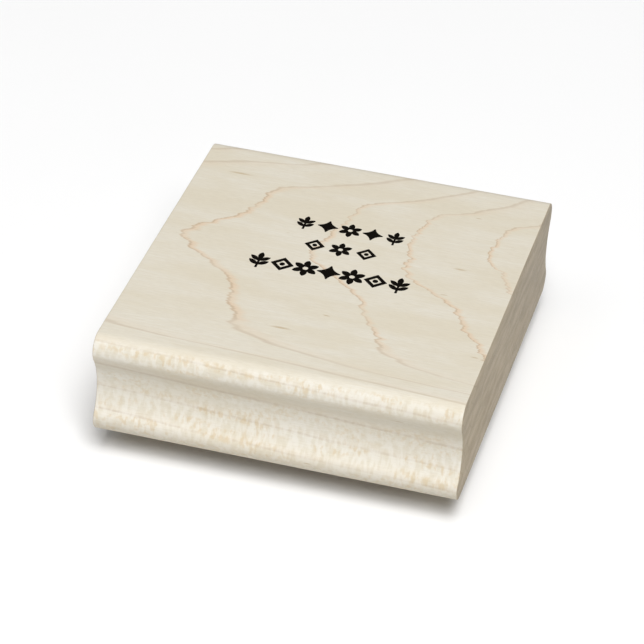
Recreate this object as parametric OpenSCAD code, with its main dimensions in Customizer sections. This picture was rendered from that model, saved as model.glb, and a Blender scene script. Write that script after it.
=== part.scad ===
// Wood-mounted rubber stamp: a moulded hardwood block with finger coves, a foam
// cushion and an engraved rubber die under it, and an index print on top.
// X runs along the moulding, Y from the front cove to the back cove, +Z is up.
// The origin is on the printing plane, under the middle of the block.

/* [Block] */
// Length of the block along the moulding
block_l = 76; // [70:1:150]
// Depth of the block over its widest bulge, front to back
block_d = 83; // [76:0.2:120]
// Height of the wood alone
block_h = 22.9; // [19:0.1:26]
// Radius of the bead along each upper edge
bead_r = 3.5; // [3:0.1:5]
// How far the bead sits in from the widest bulge
bead_setback = 0.1; // [0:0.1:1.5]
// Radius of the rounded foot along each lower edge
foot_r = 3; // [2:0.1:4]
// Depth of the finger cove, measured from the widest bulge
cove_depth = 2.6; // [1.8:0.1:3.5]

/* [Cushion and die] */
// Side of the square that the cushion and the die are trimmed to
pad_side = 60; // [50:1:64]
// Corner radius of that square
pad_corner_r = 3; // [1:0.5:8]
// Thickness of the foam cushion
foam_t = 3.2; // [2:0.1:6]
// Thickness of each film of adhesive
film_t = 0.1; // [0.05:0.01:0.2]
// Thickness of the rubber die with its relief
die_t = 2.3; // [2:0.1:3.5]
// Depth that the rubber is engraved to around the printing faces
relief_h = 1.2; // [0.8:0.1:1.4]
// Height of the wider shoulder that stands under each printing face
shoulder_h = 0.6; // [0.3:0.1:0.7]
// How much wider than its printing face a shoulder is, on each side
shoulder_w = 0.25; // [0.1:0.05:0.3]

/* [Print] */
// Distance of the print's middle row behind the block's middle
print_y = 6.4; // [-6:0.1:8]
// Height of the motifs in the upper and middle rows
motif_h = 5.1; // [3.5:0.1:5.2]
// Height of the motifs in the lower row
motif_h_low = 5.8; // [4:0.1:5.9]
// Clear gap between the upper and the middle row
row_gap = 2.7; // [1.5:0.1:4]
// Clear gap between the middle and the lower row
row_gap_low = 3.7; // [1.5:0.1:5]
// Thickness of the ink on top of the wood
ink_t = 0.06; // [0.03:0.01:0.1]

/* [Hidden] */
$fn = 48;

// Heights of the stack, counted up from the printing plane.
die_top = die_t;
foam_z = die_top + film_t;
foam_top = foam_z + foam_t;
block_z = foam_top + film_t;
block_top = block_z + block_h;

// Moulding section, as [inset from the widest bulge, height above the wood's underside].
// The cove is one arc. The bead and the foot stand into it by crease, so they meet it in a
// crisp line and not quite tangentially.
crease = 0.02;
foot_c = [foot_r, foot_r];
bead_c = [bead_setback + bead_r, block_h - bead_r];
rise = bead_c[1] - foot_c[1];
tan_bead = (bead_r - crease) ^ 2 - (bead_c[0] - cove_depth) ^ 2;
tan_foot = (foot_r - crease) ^ 2 - (foot_r - cove_depth) ^ 2;
k_sq = (2 * bead_setback) ^ 2;
k_sum = rise ^ 2 + tan_foot - tan_bead;
k_lin = 4 * k_sum * bead_setback - 8 * rise ^ 2 * (cove_depth - crease);
k_con = k_sum ^ 2 - 4 * rise ^ 2 * tan_foot;
cove_r = 2 * k_con / (-k_lin + sqrt(k_lin ^ 2 - 4 * k_sq * k_con));
cove_c = [cove_depth - cove_r,
          foot_r + sqrt(tan_foot + 2 * cove_r * (cove_depth - crease))];

// Rows of the print, upper to lower: each row's middle, and the step between its motifs.
row_y = [motif_h + row_gap, 0, -(motif_h + motif_h_low) / 2 - row_gap_low];
row_step = [4.9, 5.6, 5];

// Rounded edge along the block: half a disc that bulges away from the block's middle.
module rounded_edge(center, radius) {
  translate(center)
    linear_extrude(height = block_l)
      intersection() {
        circle(r = radius, $fn = 96);
        translate([-2, -2] * radius) square([2, 4] * radius);
      }
}

// Front half of the block, standing on its left end.
module half_block() {
  mid = block_d / 2;
  linear_extrude(height = block_l)
    difference() {
      polygon([[mid, 0], [foot_c[0], 0], foot_c, cove_c, bead_c,
               [bead_c[0], block_h], [mid, block_h]]);
      translate(cove_c) circle(r = cove_r, $fn = 192);
    }
  rounded_edge(foot_c, foot_r);
  rounded_edge(bead_c, bead_r);
}

module wood_block() {
  color("#e2dac8")
    translate([-block_l / 2, 0, block_z])
      rotate([90, 0, 90])
        for (side = [0, 1])
          mirror([side, 0, 0])
            translate([-block_d / 2, 0, 0])
              half_block();
}

// Rounded square that the films, the cushion and the die share.
module pad_outline() {
  straight = pad_side - 2 * pad_corner_r;
  square([pad_side, straight], center = true);
  square([straight, pad_side], center = true);
  for (x = [-1, 1], y = [-1, 1])
    translate([x, y] * straight / 2)
      circle(r = pad_corner_r);
}

module film(z) {
  color("#d9d4c4")
    translate([0, 0, z])
      linear_extrude(height = film_t)
        pad_outline();
}

module upper_adhesive_film() {
  film(foam_top);
}

module lower_adhesive_film() {
  film(die_top);
}

module foam_cushion() {
  color("#8f9295")
    translate([0, 0, foam_z])
      linear_extrude(height = foam_t)
        pad_outline();
}

// Leaf lying along +X from the origin: the overlap of two discs, grown by g all round.
module leaf(length, width, g = 0) {
  disc_r = (length ^ 2 + width ^ 2) / (4 * width);
  intersection_for (side = [-1, 1])
    translate([length / 2, side * (disc_r - width / 2)])
      circle(r = disc_r + g);
}

module sprig(h, g = 0) {
  stem_w = 0.09 * h;
  translate([-stem_w / 2 - g, -h / 2 - g])
    square([stem_w + 2 * g, 0.7 * h + 2 * g]);
  translate([0, 0.06 * h])
    rotate(90)
      leaf(0.44 * h, 0.22 * h, g);
  for (level = [-0.3, -0.04], side = [0, 1])
    mirror([side, 0])
      translate([0, level * h])
        rotate(38)
          leaf(0.46 * h, 0.2 * h, g);
}

module flower(h, g = 0) {
  petals = 6;
  difference() {
    for (i = [0 : petals - 1])
      rotate(90 + i * 360 / petals)
        translate([0.06 * h, 0])
          leaf(0.44 * h, 0.25 * h, g);
    circle(r = 0.1 * h - g / 2);
  }
}

// Square frame standing on its corner, round a dot.
module lozenge(h, g = 0) {
  frame_w = 0.14 * h;
  side = 0.86 * h / sqrt(2);
  difference() {
    rotate(45) square(side + 2 * g, center = true);
    rotate(45) square(side - 2 * frame_w - 2 * g, center = true);
  }
  circle(r = 0.1 * h + g);
}

// Four-pointed star: a square standing on its corner with its sides hollowed.
module star(h, g = 0) {
  tip = 0.44 * h;
  blunt = 0.02 * h;
  hollow_r = 0.55 * h;
  hollow_c = (tip + sqrt(2 * hollow_r ^ 2 - tip ^ 2)) / 2 + blunt;
  difference() {
    rotate(45) square(sqrt(2) * tip + 2 * g, center = true);
    for (x = [-1, 1], y = [-1, 1])
      translate([x, y] * hollow_c)
        circle(r = hollow_r - g);
  }
}

module motif(kind, h, g = 0) {
  if (kind == "sprig") sprig(h, g);
  if (kind == "flower") flower(h, g);
  if (kind == "lozenge") lozenge(h, g);
  if (kind == "star") star(h, g);
}

module motif_row(kinds, y, step, h, g = 0) {
  middle = (len(kinds) - 1) / 2;
  for (i = [0 : len(kinds) - 1])
    translate([(i - middle) * step, y])
      motif(kinds[i], h, g);
}

module print_pattern(g = 0) {
  translate([0, print_y]) {
    motif_row(["sprig", "star", "flower", "star", "sprig"], row_y[0], row_step[0], motif_h, g);
    motif_row(["lozenge", "flower", "lozenge"], row_y[1], row_step[1], motif_h, g);
    motif_row(["sprig", "lozenge", "flower", "star", "flower", "lozenge", "sprig"],
              row_y[2], row_step[2], motif_h_low, g);
  }
}

module index_print() {
  color("#101010")
    translate([0, 0, block_top])
      linear_extrude(height = ink_t)
        print_pattern();
}

module rubber_die() {
  color("#a4523f") {
    translate([0, 0, relief_h])
      linear_extrude(height = die_t - relief_h)
        pad_outline();
    translate([0, 0, relief_h - shoulder_h])
      linear_extrude(height = shoulder_h)
        print_pattern(shoulder_w);
    linear_extrude(height = relief_h - shoulder_h)
      print_pattern();
  }
}

wood_block();
index_print();
upper_adhesive_film();
foam_cushion();
lower_adhesive_film();
rubber_die();
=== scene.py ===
import math

import bmesh
import bpy
from mathutils import Matrix, Vector, noise


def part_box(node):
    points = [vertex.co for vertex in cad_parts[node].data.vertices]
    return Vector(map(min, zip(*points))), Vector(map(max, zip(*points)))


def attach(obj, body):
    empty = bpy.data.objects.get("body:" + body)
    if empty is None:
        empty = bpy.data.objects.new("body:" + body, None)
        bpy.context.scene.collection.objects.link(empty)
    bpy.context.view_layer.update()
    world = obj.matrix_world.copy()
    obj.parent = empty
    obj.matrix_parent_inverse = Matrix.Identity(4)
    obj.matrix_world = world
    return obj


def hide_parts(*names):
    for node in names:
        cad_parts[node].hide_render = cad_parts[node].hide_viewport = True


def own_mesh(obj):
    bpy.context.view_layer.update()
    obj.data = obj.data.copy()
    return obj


# A wood-mounted rubber stamp. Lengths are in metres, in the CAD model's own frame: X runs
# along the moulding, Y from front to back, and the printing plane is z = 0.

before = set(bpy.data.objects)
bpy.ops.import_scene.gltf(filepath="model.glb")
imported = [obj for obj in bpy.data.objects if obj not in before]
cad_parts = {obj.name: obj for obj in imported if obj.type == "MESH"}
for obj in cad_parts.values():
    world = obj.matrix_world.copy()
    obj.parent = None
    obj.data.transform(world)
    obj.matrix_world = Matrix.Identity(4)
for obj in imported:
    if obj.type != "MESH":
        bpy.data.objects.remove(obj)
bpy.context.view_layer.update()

MM = 0.001
WOOD_LOW, WOOD_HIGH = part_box("wood_block")
FOAM_LOW, FOAM_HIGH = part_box("foam_cushion")
PRINTING_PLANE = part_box("rubber_die")[0].z
WOOD_MIDDLE = (WOOD_LOW + WOOD_HIGH) / 2
WOOD_SIZE = WOOD_HIGH - WOOD_LOW

# The moulding's section, as in the CAD model.
BEAD_RADIUS = 3.5 * MM
BEAD_SETBACK = 0.1 * MM
FOOT_RADIUS = 3.0 * MM
COVE_DEPTH = 2.6 * MM
CREASE = 0.02 * MM


# ---------------------------------------------------------------- camera, light and floor

def make_camera():
    """The photograph's viewpoint: a long lens from the front left, above, slightly rolled."""
    azimuth = math.radians(14.43)
    elevation = math.radians(34.39)
    roll = math.radians(2.50)
    distance = 0.61406
    aim = WOOD_MIDDLE + Vector((-0.55 * MM, -4.32 * MM, 0))
    level_right = Vector((math.cos(azimuth), math.sin(azimuth), 0))
    back = Vector((math.sin(azimuth) * math.cos(elevation),
                   -math.cos(azimuth) * math.cos(elevation),
                   math.sin(elevation)))
    level_up = back.cross(level_right)
    right = math.cos(roll) * level_right + math.sin(roll) * level_up
    up = back.cross(right)
    data = bpy.data.cameras.new("camera")
    data.lens = 164.63
    data.sensor_width = 36
    data.clip_start = 0.05
    data.clip_end = 20
    camera = bpy.data.objects.new("camera", data)
    turn = Matrix((right, up, back)).transposed().to_4x4()
    camera.matrix_world = Matrix.Translation(aim + distance * back) @ turn
    bpy.context.scene.collection.objects.link(camera)
    bpy.context.scene.camera = camera


def make_area_light(name, azimuth, elevation, power):
    """A square soft box that shines on the block. Azimuth is from the front, to the right."""
    distance = 2.8
    data = bpy.data.lights.new(name, "AREA")
    data.size = distance / 2
    data.energy = power
    light = bpy.data.objects.new(name, data)
    turn, rise = math.radians(azimuth), math.radians(elevation)
    direction = Vector((math.sin(turn) * math.cos(rise), -math.cos(turn) * math.cos(rise),
                        math.sin(rise)))
    light.location = WOOD_MIDDLE + distance * direction
    light.rotation_mode = "QUATERNION"
    light.rotation_quaternion = direction.to_track_quat("Z", "Y")
    bpy.context.scene.collection.objects.link(light)


def make_world(strength):
    """A faint even light from all round. The camera itself sees it as a white backdrop."""
    world = bpy.data.worlds.new("studio")
    world.use_nodes = True
    nodes, links = world.node_tree.nodes, world.node_tree.links
    lighting = nodes["Background"]
    lighting.inputs["Color"].default_value = (1, 1, 1, 1)
    lighting.inputs["Strength"].default_value = strength
    backdrop = nodes.new("ShaderNodeBackground")
    backdrop.inputs["Color"].default_value = (0.93, 0.93, 0.93, 1)
    share = nodes.new("ShaderNodeMixShader")
    links.new(nodes.new("ShaderNodeLightPath").outputs["Is Camera Ray"], share.inputs[0])
    links.new(lighting.outputs[0], share.inputs[1])
    links.new(backdrop.outputs[0], share.inputs[2])
    links.new(share.outputs[0], nodes["World Output"].inputs["Surface"])
    bpy.context.scene.world = world


# ---------------------------------------------------------------- node graphs

class Graph:
    """A material's node tree, written as nested calls. A value is a number, a colour or a socket.

    Its lengths are in millimetres.
    """

    def __init__(self, name):
        self.material = bpy.data.materials.new(name)
        self.material.use_nodes = True
        self.nodes = self.material.node_tree.nodes
        self.links = self.material.node_tree.links
        self.shader = self.nodes["Principled BSDF"]
        coordinates = self.nodes.new("ShaderNodeTexCoord")
        scaled = self.nodes.new("ShaderNodeVectorMath")
        scaled.operation = "SCALE"
        self.links.new(coordinates.outputs["Object"], scaled.inputs[0])
        scaled.inputs["Scale"].default_value = 1 / MM
        self.place = scaled.outputs["Vector"]
        split = self.nodes.new("ShaderNodeSeparateXYZ")
        self.links.new(self.place, split.inputs[0])
        self.x, self.y, self.z = split.outputs

    def plug(self, socket, value):
        if isinstance(value, bpy.types.NodeSocket):
            self.links.new(value, socket)
        elif socket.type == "RGBA":
            socket.default_value = (*value, 1)
        else:
            socket.default_value = value

    def math(self, operation, *values):
        node = self.nodes.new("ShaderNodeMath")
        node.operation = operation
        for socket, value in zip(node.inputs, values):
            self.plug(socket, value)
        return node.outputs[0]

    def add(self, *values):
        total = values[0]
        for value in values[1:]:
            total = self.math("ADD", total, value)
        return total

    def times(self, *values):
        total = values[0]
        for value in values[1:]:
            total = self.math("MULTIPLY", total, value)
        return total

    def point(self, x, y, z):
        node = self.nodes.new("ShaderNodeCombineXYZ")
        for socket, value in zip(node.inputs, (x, y, z)):
            self.plug(socket, value)
        return node.outputs[0]

    def stretched(self, length_x, length_y, length_z):
        """The place, divided by a length along each axis."""
        node = self.nodes.new("ShaderNodeVectorMath")
        node.operation = "DIVIDE"
        self.links.new(self.place, node.inputs[0])
        node.inputs[1].default_value = (length_x, length_y, length_z)
        return node.outputs["Vector"]

    def noise(self, vector, detail=2.0, roughness=0.5):
        node = self.nodes.new("ShaderNodeTexNoise")
        self.links.new(vector, node.inputs["Vector"])
        node.inputs["Scale"].default_value = 1
        node.inputs["Detail"].default_value = detail
        node.inputs["Roughness"].default_value = roughness
        return node.outputs["Fac"]

    def cell_walls(self, cells_per_mm):
        """Distance from the nearest wall of a honeycomb of random cells, in cells."""
        node = self.nodes.new("ShaderNodeTexVoronoi")
        node.feature = "DISTANCE_TO_EDGE"
        self.links.new(self.place, node.inputs["Vector"])
        node.inputs["Scale"].default_value = cells_per_mm
        return node.outputs["Distance"]

    def remap(self, value, low, high, to_low=0.0, to_high=1.0, smooth=True):
        """Takes low to to_low and high to to_high, and stays level beyond them."""
        node = self.nodes.new("ShaderNodeMapRange")
        node.interpolation_type = "SMOOTHSTEP" if smooth else "LINEAR"
        self.links.new(value, node.inputs["Value"])
        for name, number in zip(("From Min", "From Max", "To Min", "To Max"),
                                (low, high, to_low, to_high)):
            node.inputs[name].default_value = number
        return node.outputs["Result"]

    def band(self, value, rise_start, rise_end, fall_start, fall_end):
        """1 from rise_end to fall_start, and fading to 0 on both sides."""
        return self.times(self.remap(value, rise_start, rise_end),
                          self.remap(value, fall_start, fall_end, 1, 0))

    def curve(self, value, points):
        """A smooth curve through points, whose coordinates all lie between 0 and 1."""
        node = self.nodes.new("ShaderNodeFloatCurve")
        self.links.new(value, node.inputs["Value"])
        line = node.mapping.curves[0]
        for i, (x, y) in enumerate(points):
            if i < len(line.points):
                line.points[i].location = (x, y)
            else:
                line.points.new(x, y)
        node.mapping.update()
        return node.outputs["Value"]

    def mix(self, share, first, second):
        node = self.nodes.new("ShaderNodeMix")
        node.data_type = "RGBA"
        sockets = {s.identifier: s for s in node.inputs}
        self.plug(sockets["Factor_Float"], share)
        self.plug(sockets["A_Color"], first)
        self.plug(sockets["B_Color"], second)
        return next(s for s in node.outputs if s.identifier == "Result_Color")

    def bump(self, height, depth, strength):
        """Surface relief of the given depth where height goes from 0 to 1."""
        node = self.nodes.new("ShaderNodeBump")
        node.inputs["Distance"].default_value = depth * MM
        node.inputs["Strength"].default_value = strength
        self.links.new(height, node.inputs["Height"])
        self.links.new(node.outputs["Normal"], self.shader.inputs["Normal"])

    def finish(self, colour, roughness, specular=0.5):
        self.plug(self.shader.inputs["Base Color"], colour)
        self.plug(self.shader.inputs["Roughness"], roughness)
        self.shader.inputs["Specular IOR Level"].default_value = specular
        return self.material


# ---------------------------------------------------------------- maple

MAPLE_PALE = (0.69, 0.656, 0.575)
MAPLE_WARM = (0.648, 0.594, 0.48)
# a darker maple tone, for the random mottle and also for the painted shade in the upper cove and along
# the bottom
MAPLE_MOTTLE_AND_SHADE = (0.42, 0.36, 0.26)
RING_LINE = (0.39, 0.29, 0.19)
RING_TINT = (0.67, 0.49, 0.33)
STREAK = (0.46, 0.35, 0.21)
RAY_FLECK = (0.58, 0.45, 0.26)
RAY_WHITE = (0.77, 0.75, 0.70)
END_GRAIN = (0.452, 0.373, 0.259)
END_GRAIN_DARK = (0.345, 0.279, 0.188)

# The large sap streaks on top: each one's middle (x, y) and half its length, in millimetres.
SAP_STREAKS = ((-28.7, 29, 3.6), (-3.7, -24.9, 3), (25.6, 7.5, 2))


class Maple(Graph):
    """Flat-sawn hard maple, as laid out in the block."""

    def __init__(self):
        super().__init__("maple")
        self.half_length = WOOD_SIZE.x / 2 / MM
        self.half_depth = WOOD_SIZE.y / 2 / MM
        self.outward = self.math("ABSOLUTE", self.y)
        self.below_top = self.math("SUBTRACT", WOOD_HIGH.z / MM, self.z)
        # the stretch of the cove just under the bead, which gets painted shade
        self.upper_cove_shade = self.band(self.below_top, 3.2, 4.6, 7, 10)
        self.fibre = self.noise(self.stretched(6, 0.3, 0.3), detail=3, roughness=0.6)
        self.past_ring = self.ring_distance(self.growth_phase())
        # rays stand on edge and lean inward as they rise
        lean = math.radians(24)
        self.along_ray = self.add(self.times(self.z, math.cos(lean)),
                                  self.times(self.outward, -math.sin(lean)))
        self.across_ray = self.add(self.times(self.outward, math.cos(lean)),
                                   self.times(self.z, math.sin(lean)))

    def across_curve(self, ceiling, points):
        """A curve from front to back through (y, value) points, with no value above ceiling."""
        across = self.remap(self.y, -self.half_depth, self.half_depth, smooth=False)
        shares = [((y + self.half_depth) / (2 * self.half_depth), value / ceiling)
                  for y, value in points]
        return self.times(self.curve(across, shares), ceiling)

    def growth_phase(self):
        """Distance across the growth rings, measured along the top's middle line.

        A ring shows on top as a long V that points left. It dips to the right under the top,
        so it shows on the front as a line that descends gently.
        """
        # how far each ring's line has moved right, from the front edge to the back edge
        flare = self.across_curve(100, (
            (-41.5, 95), (-36.5, 70), (-34.6, 48), (-33, 39), (-30, 27), (-28, 23), (-22, 19.5),
            (-17, 17.3), (-11, 14.5), (-7, 11.3), (-3, 6.2), (3, 0), (8, 1.1), (14, 2.2),
            (20, 4.8), (25, 6.5), (29, 17), (33, 29), (38.6, 45.5), (41.5, 52)))
        # how closely the rings follow each other along the block
        crowding = self.across_curve(2, (
            (-41.5, 0.25), (-36, 0.5), (-33, 0.75), (-28, 0.86), (-20, 0.91), (-11, 0.98),
            (-5, 0.93), (3, 1), (8, 1.11), (14, 1.33), (20, 1.38), (25, 1.38), (32, 1.57),
            (38.6, 1.82), (41.5, 1.9)))
        dip = 6.5
        wander_reach = 3
        wander = self.noise(self.stretched(30, 11, 11), detail=1)
        jag_reach = 5
        jags = self.noise(self.stretched(14, 1.7, 1.7), detail=3, roughness=0.6)
        return self.add(self.times(self.x, crowding),
                        self.times(flare, -1),
                        self.times(self.below_top, -dip),
                        self.times(self.math("SUBTRACT", wander, 0.5), wander_reach),
                        self.times(self.math("SUBTRACT", jags, 0.5), jag_reach))

    def ring_distance(self, phase):
        """Distance past the nearest growth ring, from minus to plus half a ring.

        The rings are counted along the phase: a ring's line is where the count is whole.
        """
        count_offset = 0.925
        first_spacing = 36
        # the rings get closer from here on
        narrowing_start = -38
        narrowing = 0.00024
        after_start = self.add(phase, -narrowing_start)
        narrowed = self.math("POWER", self.math("MAXIMUM", after_start, 0.0), 2)
        # and lie a step further apart again from here on
        widening_start = 15
        widening = -0.0144
        widened = self.math("MAXIMUM", self.add(phase, -widening_start), 0.0)
        # behind the print the rings on the left lie further apart
        behind_print = self.band(self.y, 24, 30, 34, 37)
        spread = -0.007
        early = self.math("MINIMUM", after_start, 0.0)
        count = self.add(self.times(phase, 1 / first_spacing),
                         self.times(narrowed, narrowing),
                         self.times(widened, widening),
                         self.times(behind_print, early, spread),
                         count_offset)
        usual_spacing = 22
        past = self.math("SUBTRACT", count, self.math("ROUND", count))
        return self.times(past, usual_spacing)

    def ground(self):
        """Soft clouds of two tones, with long fibres and a fine mottle."""
        cloud = self.noise(self.stretched(28, 8, 8), detail=4, roughness=0.6)
        colour = self.mix(self.remap(cloud, 0.35, 0.65), MAPLE_WARM, MAPLE_PALE)
        fibres = self.remap(self.fibre, 0.3, 0.7, 0.0, 0.75, smooth=False)
        colour = self.mix(fibres, colour, MAPLE_WARM)
        mottle = self.noise(self.stretched(2.2, 0.28, 0.28), detail=2)
        return self.mix(self.remap(mottle, 0.35, 0.65, 0, 0.1), colour, MAPLE_MOTTLE_AND_SHADE)

    def ringed(self, colour):
        """Each ring: a thin brown line, then a warm tint that fades out to the right.

        The tint is strong where the surface cuts the rings at a slant, near the top's middle.
        """
        strength = self.remap(self.noise(self.stretched(14, 6, 6)), 0.3, 0.6, 0.5, 1.0)
        slanting = self.remap(self.outward, 18, 34, 1, 0.15)
        steepness = self.remap(self.outward, 22, 35, 1, 5)
        behind = self.math("DIVIDE", self.past_ring, steepness)
        line = self.times(self.band(behind, -0.3, -0.02, 0.02, 0.4), strength)
        tint = self.times(self.band(behind, -0.4, 0.05, 0.3, 1.6), strength, slanting)
        colour = self.mix(self.times(tint, 0.6), colour, RING_TINT)
        return self.mix(self.times(line, self.remap(slanting, 0, 1, 0.3, 0.5)), colour, RING_LINE)

    def ray_noise(self, width, thickness, height, roughness=0.5):
        return self.noise(self.point(self.times(self.x, 1 / width),
                                     self.times(self.across_ray, 1 / thickness),
                                     self.times(self.along_ray, 1 / height)),
                          roughness=roughness)

    def flecked(self, colour):
        """Rays show as flecks only where the surface is upright or leans with them.

        The large ones are whitish and all over, the small ones tan and in patches.
        """
        upright = self.remap(self.add(self.outward, self.times(self.below_top, 0.12)),
                             self.half_depth - 2.2, self.half_depth - 0.6)
        # painted shade: the pale flecks thin out in the upper cove, under the bead
        upright = self.times(upright, self.remap(self.upper_cove_shade, 0, 1, 1, 0.2))
        large_rays = self.ray_noise(width=1.1, thickness=0.8, height=3.4, roughness=0.55)
        pale = self.remap(large_rays, 0.36, 0.62)
        colour = self.mix(self.times(pale, upright, 0.46), colour, RAY_WHITE)
        patches = self.remap(self.noise(self.stretched(13, 5, 2.6), detail=1), 0.42, 0.58)
        small_rays = self.ray_noise(width=0.85, thickness=0.6, height=1.7)
        tan = self.remap(small_rays, 0.46, 0.66)
        return self.mix(self.times(tan, patches, upright, 0.52), colour, RAY_FLECK)

    def sap_streak(self, x, y, half_length):
        """1 along a short line on top, fading to 0 around it."""
        half_width = 0.5
        depth = 1.5
        along = self.math("DIVIDE", self.add(self.x, -x), half_length)
        aside = self.math("DIVIDE", self.add(self.y, -y, self.times(self.fibre, 0.5)), half_width)
        under = self.math("DIVIDE", self.below_top, depth)
        away = self.math("SQRT", self.add(self.times(along, along), self.times(aside, aside),
                                          self.times(under, under)))
        return self.remap(away, 0.1, 1, 1, 0)

    def streaked(self, colour):
        """Short brown streaks, left by the growing tree's sap: large ones and scattered small ones."""
        streak = self.remap(self.noise(self.stretched(5.5, 1.1, 1.1), detail=1), 0.765, 0.83)
        for x, y, half_length in SAP_STREAKS:
            streak = self.math("MAXIMUM", streak, self.sap_streak(x, y, half_length))
        return self.mix(self.times(streak, 0.75), colour, STREAK)

    def end_grain(self):
        """The sawn ends are darker, with the rings as arcs and the rays as thin pale streaks."""
        cloud = self.noise(self.stretched(40, 11, 2), detail=2)
        colour = self.mix(self.remap(cloud, 0.3, 0.7), END_GRAIN, END_GRAIN_DARK)
        ring = self.band(self.past_ring, -3, 0.2, 0.2, 1.2)
        colour = self.mix(self.times(ring, 0.6), colour, END_GRAIN_DARK)
        thickness = 0.22
        height = 4
        rays = self.noise(self.point(0.0, self.times(self.across_ray, 1 / thickness),
                                     self.times(self.along_ray, 1 / height)), detail=1)
        colour = self.mix(self.remap(rays, 0.5, 0.7, 0, 0.22), colour, MAPLE_WARM)
        vessels = self.noise(self.stretched(1, 0.18, 0.18), detail=1)
        return self.mix(self.remap(vessels, 0.55, 0.72, 0, 0.35), colour, END_GRAIN_DARK)


def maple():
    g = Maple()
    colour = g.ringed(g.ground())
    # painted shade: the upper cove darkens a little, up to the crease under the bead, as if in the
    # bead's shadow
    colour = g.mix(g.times(g.upper_cove_shade, 0.18), colour, MAPLE_MOTTLE_AND_SHADE)
    colour = g.streaked(g.flecked(colour))

    # pores are short fine dashes along the grain
    pores = g.noise(g.stretched(1.6, 0.13, 0.13), detail=1)
    colour = g.mix(g.remap(pores, 0.62, 0.8, 0, 0.22), colour, RING_LINE)

    # painted shade: the wood darkens towards its bottom edge, where less light bounces up to it
    wood_bottom = WOOD_LOW.z / MM
    rim_height = 5.5
    # painted shade, strongest at the bottom edge and gone 5.5 mm up
    bottom_shade = g.remap(g.z, wood_bottom, wood_bottom + rim_height, 0.6, 0, smooth=False)
    colour = g.mix(bottom_shade, colour, MAPLE_MOTTLE_AND_SHADE)

    # the sawn ends begin where their broken edges turn
    end = g.remap(g.math("ABSOLUTE", g.x), g.half_length - 0.16, g.half_length - 0.03)
    colour = g.mix(end, colour, g.end_grain())

    saw_marks = g.noise(g.stretched(50, 0.4, 9), detail=2)
    relief = g.add(g.times(g.fibre, 0.6), g.times(pores, -0.4), g.times(saw_marks, end, 2))
    g.bump(relief, depth=0.03, strength=0.6)
    return g.finish(colour, g.remap(g.fibre, 0.3, 0.7, 0.5, 0.66), specular=0.3)


# ---------------------------------------------------------------- other materials

def ink():
    g = Graph("ink")
    blot = g.noise(g.stretched(0.5, 0.5, 0.5), detail=3, roughness=0.65)
    grain = g.noise(g.stretched(3.5, 0.2, 0.2), detail=2)
    thin = g.times(g.remap(blot, 0.52, 0.75), g.remap(grain, 0.48, 0.72))
    colour = g.mix(thin, (0.003, 0.002, 0.001), (0.02, 0.017, 0.013))
    g.bump(grain, depth=0.02, strength=0.5)
    return g.finish(colour, g.remap(blot, 0.35, 0.7, 0.6, 0.85), specular=0.08)


def stamp_rubber():
    g = Graph("stamp_rubber")
    cloud = g.noise(g.stretched(8, 8, 8), detail=3)
    colour = g.mix(g.remap(cloud, 0.3, 0.7), (0.375, 0.092, 0.052), (0.415, 0.112, 0.064))
    dust = g.noise(g.stretched(0.16, 0.16, 0.16), detail=2)
    colour = g.mix(g.remap(dust, 0.58, 0.75, 0, 0.3), colour, (0.55, 0.27, 0.19))
    # The printing faces keep the sheet's smooth skin. The engraver leaves a paler, duller floor
    # with fine lines between them.
    floor = g.remap(g.z, 0.15, 0.5)
    lines = g.noise(g.stretched(9, 0.11, 9), detail=1)
    colour = g.mix(g.times(floor, 0.55), colour, (0.48, 0.18, 0.12))
    colour = g.mix(g.times(g.remap(lines, 0.42, 0.62), floor, 0.3), colour, (0.27, 0.06, 0.035))
    g.bump(g.add(g.times(dust, 0.5), g.times(lines, floor)), depth=0.03, strength=0.8)
    roughness = g.add(g.remap(cloud, 0.3, 0.7, 0.42, 0.52), g.times(floor, 0.25))
    return g.finish(colour, roughness, specular=0.35)


def cushion_foam():
    g = Graph("cushion_foam")
    walls = g.cell_walls(cells_per_mm=2.4)
    cloud = g.noise(g.stretched(6, 6, 6), detail=2)
    colour = g.mix(g.remap(cloud, 0.35, 0.65), (0.21, 0.215, 0.22), (0.27, 0.275, 0.28))
    colour = g.mix(g.remap(walls, 0.0, 0.12, 0.55, 0.0), colour, (0.42, 0.42, 0.42))
    g.bump(g.remap(walls, 0.0, 0.3, 1, 0), depth=0.08, strength=0.8)
    return g.finish(colour, g.remap(cloud, 0.3, 0.7, 0.75, 0.9), specular=0.25)


def adhesive_film():
    g = Graph("adhesive_film")
    cloud = g.noise(g.stretched(5, 5, 5), detail=2)
    colour = g.mix(g.remap(cloud, 0.35, 0.65), (0.68, 0.64, 0.53), (0.75, 0.72, 0.63))
    g.bump(g.noise(g.stretched(0.6, 0.6, 0.6), detail=1), depth=0.02, strength=0.5)
    return g.finish(colour, g.remap(cloud, 0.3, 0.7, 0.25, 0.4))


def floor_paper():
    g = Graph("floor_paper")
    cloud = g.noise(g.stretched(60, 60, 60), detail=1)
    colour = g.mix(cloud, (0.875, 0.875, 0.875), (0.89, 0.89, 0.89))
    return g.finish(colour, 0.9, specular=0.0)


# ---------------------------------------------------------------- meshes

def make_object(name, mesh_maker, sharp_angle, material):
    """A smooth-shaded object from a bmesh, with its edges sharp above sharp_angle degrees."""
    mesh = bpy.data.meshes.new(name)
    bmesh.ops.recalc_face_normals(mesh_maker, faces=mesh_maker.faces)
    mesh_maker.to_mesh(mesh)
    mesh_maker.free()
    mesh.shade_smooth()
    mesh.set_sharp_from_angle(angle=math.radians(sharp_angle))
    mesh.materials.append(material)
    made = bpy.data.objects.new(name, mesh)
    bpy.context.scene.collection.objects.link(made)
    return made


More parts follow.
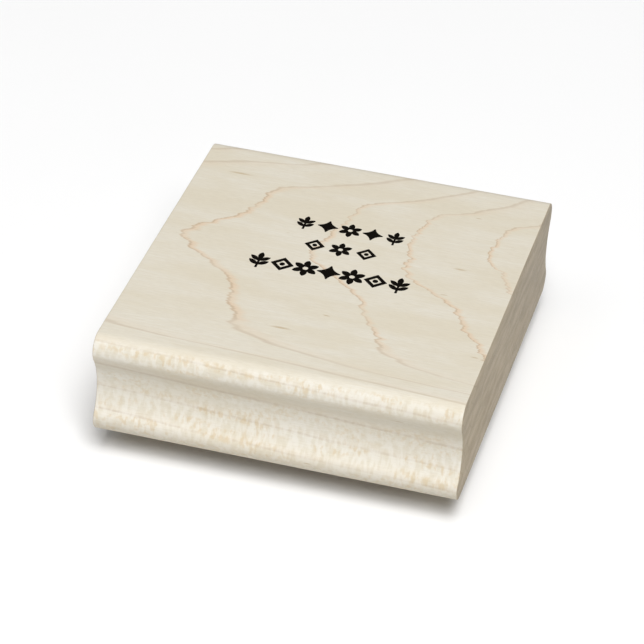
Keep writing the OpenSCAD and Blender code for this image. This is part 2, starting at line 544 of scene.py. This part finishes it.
def loft(rings):
    """A closed bmesh through rings of equally many points, with a flat face on both ends."""
    maker = bmesh.new()
    loops = [[maker.verts.new(p) for p in ring] for ring in rings]
    count = len(loops[0])
    for one, other in zip(loops, loops[1:]):
        for i in range(count):
            j = (i + 1) % count
            maker.faces.new((one[i], one[j], other[j], other[i]))
    maker.faces.new(reversed(loops[0]))
    maker.faces.new(loops[-1])
    return maker


def arc(centre, radius, start, end, step):
    """Points on an arc in a plane, from angle start to angle end, about step apart."""
    count = max(2, math.ceil(abs(end - start) * radius / step))
    angles = [start + (end - start) * i / count for i in range(count + 1)]
    return [centre + radius * Vector((math.cos(a), math.sin(a))) for a in angles]


def outward_normals(outline):
    """Unit normals of an anticlockwise outline, one at each point."""
    normals = []
    for i, point in enumerate(outline):
        along = outline[(i + 1) % len(outline)] - outline[i - 1]
        normals.append(Vector((along.y, -along.x)).normalized())
    return normals


def cove_circle(foot_centre, bead_centre):
    """Radius and centre of the cove's arc, which the foot and the bead stand into by CREASE."""
    reach = COVE_DEPTH - CREASE
    foot_part = (FOOT_RADIUS - CREASE) ** 2 - (foot_centre.x - COVE_DEPTH) ** 2
    bead_part = (BEAD_RADIUS - CREASE) ** 2 - (bead_centre.x - COVE_DEPTH) ** 2

    def drop_to_foot(radius):
        return math.sqrt(foot_part + 2 * radius * reach)

    def rise_to_bead(radius):
        return math.sqrt(bead_part + 2 * radius * (reach - BEAD_SETBACK))

    halvings = 60
    small, large = COVE_DEPTH, WOOD_SIZE.z * 4
    for _ in range(halvings):
        radius = (small + large) / 2
        if drop_to_foot(radius) + rise_to_bead(radius) < bead_centre.y - foot_centre.y:
            small = radius
        else:
            large = radius
    return radius, Vector((COVE_DEPTH - radius, foot_centre.y + drop_to_foot(radius)))


def moulding_side():
    """The front's outline from the flat underside up to the flat top.

    Points are (inset from the widest bulge, height above the wood's underside).
    """
    foot_centre = Vector((FOOT_RADIUS, FOOT_RADIUS))
    bead_centre = Vector((BEAD_SETBACK + BEAD_RADIUS, WOOD_SIZE.z - BEAD_RADIUS))
    cove_radius, cove_centre = cove_circle(foot_centre, bead_centre)

    def crossing_angle(radius, distance):
        """Angle at the cove's centre between the line to another centre and the crossing."""
        return math.acos((distance ** 2 + cove_radius ** 2 - radius ** 2)
                         / (2 * distance * cove_radius))

    def angle_of(vector):
        return math.atan2(vector.y, vector.x)

    to_foot = foot_centre - cove_centre
    to_bead = bead_centre - cove_centre
    cove_start = angle_of(to_foot) + crossing_angle(FOOT_RADIUS, to_foot.length)
    cove_end = angle_of(to_bead) - crossing_angle(BEAD_RADIUS, to_bead.length)
    cove = arc(cove_centre, cove_radius, cove_start, cove_end, step=0.35 * MM)
    foot_end = angle_of(cove[0] - foot_centre) % math.tau
    bead_start = angle_of(cove[-1] - bead_centre) % math.tau
    foot = arc(foot_centre, FOOT_RADIUS, 1.5 * math.pi, foot_end, step=0.22 * MM)
    bead = arc(bead_centre, BEAD_RADIUS, bead_start, 0.5 * math.pi, step=0.25 * MM)
    return foot + cove[1:-1] + bead


def moulding_outline():
    """The whole section as (y, z) points, anticlockwise as seen from the right-hand end."""
    side = moulding_side()
    front = [(WOOD_LOW.y + p.x, WOOD_LOW.z + p.y) for p in side]
    back = [(WOOD_HIGH.y - p.x, WOOD_LOW.z + p.y) for p in reversed(side)]
    flat_steps = 30

    def between(start, end):
        """Points along a flat, without its ends."""
        return [(start[0] + (end[0] - start[0]) * i / flat_steps,
                 start[1] + (end[1] - start[1]) * i / flat_steps) for i in range(1, flat_steps)]

    outline = front + between(front[-1], back[0]) + back + between(back[-1], front[0])
    return [Vector(p) for p in reversed(outline)]


def make_wood_block(material):
    """The block of moulding, its section carried along X from one sawn end to the other."""
    outline = moulding_outline()
    normals = outward_normals(outline)
    edge_steps = 3
    stations = 38
    edge_room = 0.6 * MM

    def broken_radius(point, side):
        """The sawn edges are just broken by sanding, a little more in some places."""
        usual_radius = 0.13
        unevenness = 0.06
        wobble_length = 3 * MM
        # keeps the two ends so far apart in the noise that they wobble differently
        end_offset = 7
        wobble = noise.noise(Vector((side * end_offset, point.x / wobble_length,
                                     point.y / wobble_length)))
        return (usual_radius + unevenness * wobble) * MM

    def ring(side, turn):
        """One ring of the rounded sawn edge, from turn 0 on the sides to a quarter turn."""
        points = []
        for point, normal in zip(outline, normals):
            radius = broken_radius(point, side)
            x = side * (WOOD_SIZE.x / 2 - radius * (1 - math.sin(turn)))
            place = point - normal * radius * (1 - math.cos(turn))
            points.append((WOOD_MIDDLE.x + x, place.x, place.y))
        return points

    turns = [math.pi / 2 * i / edge_steps for i in range(edge_steps + 1)]
    inner = WOOD_SIZE.x / 2 - edge_room
    middle = [[(WOOD_MIDDLE.x + inner * (2 * i / stations - 1), p.x, p.y) for p in outline]
              for i in range(stations + 1)]
    rings = [ring(-1, t) for t in reversed(turns)] + middle + [ring(1, t) for t in turns]
    return make_object("maple_block", loft(rings), sharp_angle=50, material=material)


def rounded_square(half, radius, step):
    corner = half - radius
    points = []
    for quarter, (x, y) in enumerate(((1, 1), (-1, 1), (-1, -1), (1, -1))):
        start = quarter * math.pi / 2
        points += arc(Vector((x, y)) * corner, radius, start, start + math.pi / 2, step)
    return points


def filled_in(outline, step):
    """The outline with points added along its straight stretches, about step apart."""
    points = []
    for i, point in enumerate(outline):
        following = outline[(i + 1) % len(outline)]
        pieces = max(1, round((following - point).length / step))
        points += [point.lerp(following, k / pieces) for k in range(pieces)]
    return points


def make_foam(material):
    """Closed-cell foam, knife-cut: its sides waist in a little and show torn cells."""
    half = (FOAM_HIGH.x - FOAM_LOW.x) / 2
    height = FOAM_HIGH.z - FOAM_LOW.z
    levels = 12
    corner_radius = 3 * MM
    waist = 0.16 * MM
    torn_depth = 0.06 * MM
    torn_length = 0.5 * MM
    outline = filled_in(rounded_square(half, corner_radius, step=0.5 * MM), step=0.7 * MM)
    normals = outward_normals(outline)
    rings = []
    for level in range(levels + 1):
        t = level / levels
        z = FOAM_LOW.z + height * t
        pull = waist * math.sin(math.pi * t)
        ring = []
        for point, normal in zip(outline, normals):
            tear = 0
            if 0 < level < levels:
                unevenness = noise.noise(Vector((point.x, point.y, z)) / torn_length)
                tear = torn_depth * (0.5 + 0.5 * unevenness)
            flat = point - normal * (pull + tear)
            ring.append((flat.x, flat.y, z))
        rings.append(ring)
    return make_object("foam_pad", loft(rings), sharp_angle=50, material=material)


def make_die(material):
    """The engraved rubber sheet, from the CAD solid.

    It is shaded flat where it is level and smooth round the motifs' curves.
    """
    same_place = 0.001 * MM
    same_plane = math.radians(0.5)
    maker = bmesh.new()
    maker.from_mesh(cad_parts["rubber_die"].data)
    bmesh.ops.remove_doubles(maker, verts=maker.verts, dist=same_place)
    bmesh.ops.dissolve_limit(maker, angle_limit=same_plane, verts=maker.verts, edges=maker.edges)
    sheet = make_object("engraved_die", maker, sharp_angle=30, material=material)
    for face in sheet.data.polygons:
        level = abs(face.normal.z) > 0.9
        if level:
            face.use_smooth = False
    return sheet


# ---------------------------------------------------------------- assembly

def dress(node, material):
    """Gives a CAD node its finished material."""
    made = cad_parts[node]
    made.data.materials.clear()
    made.data.materials.append(material)


def make_floor():
    reach = 0.6
    gap = 0.01 * MM
    maker = bmesh.new()
    corners = [maker.verts.new((x * reach, y * reach, PRINTING_PLANE - gap))
               for x, y in ((-1, -1), (1, -1), (1, 1), (-1, 1))]
    maker.faces.new(corners)
    floor = make_object("floor", maker, sharp_angle=30, material=floor_paper())


make_camera()
make_world(strength=0.09)
make_area_light("key", azimuth=25, elevation=55, power=58)
make_area_light("top", azimuth=25, elevation=75, power=36.5)
make_area_light("fill", azimuth=-45, elevation=55, power=9.2)
make_floor()
bpy.context.scene.view_settings.view_transform = "Standard"

block = make_wood_block(maple())
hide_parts("wood_block")
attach(block, "block")

foam = make_foam(cushion_foam())
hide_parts("foam_cushion")
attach(foam, "block")
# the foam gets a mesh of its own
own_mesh(foam)

die = make_die(stamp_rubber())
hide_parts("rubber_die")
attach(die, "die")

film = adhesive_film()
dress("index_print", ink())
dress("upper_adhesive_film", film)
dress("lower_adhesive_film", film)
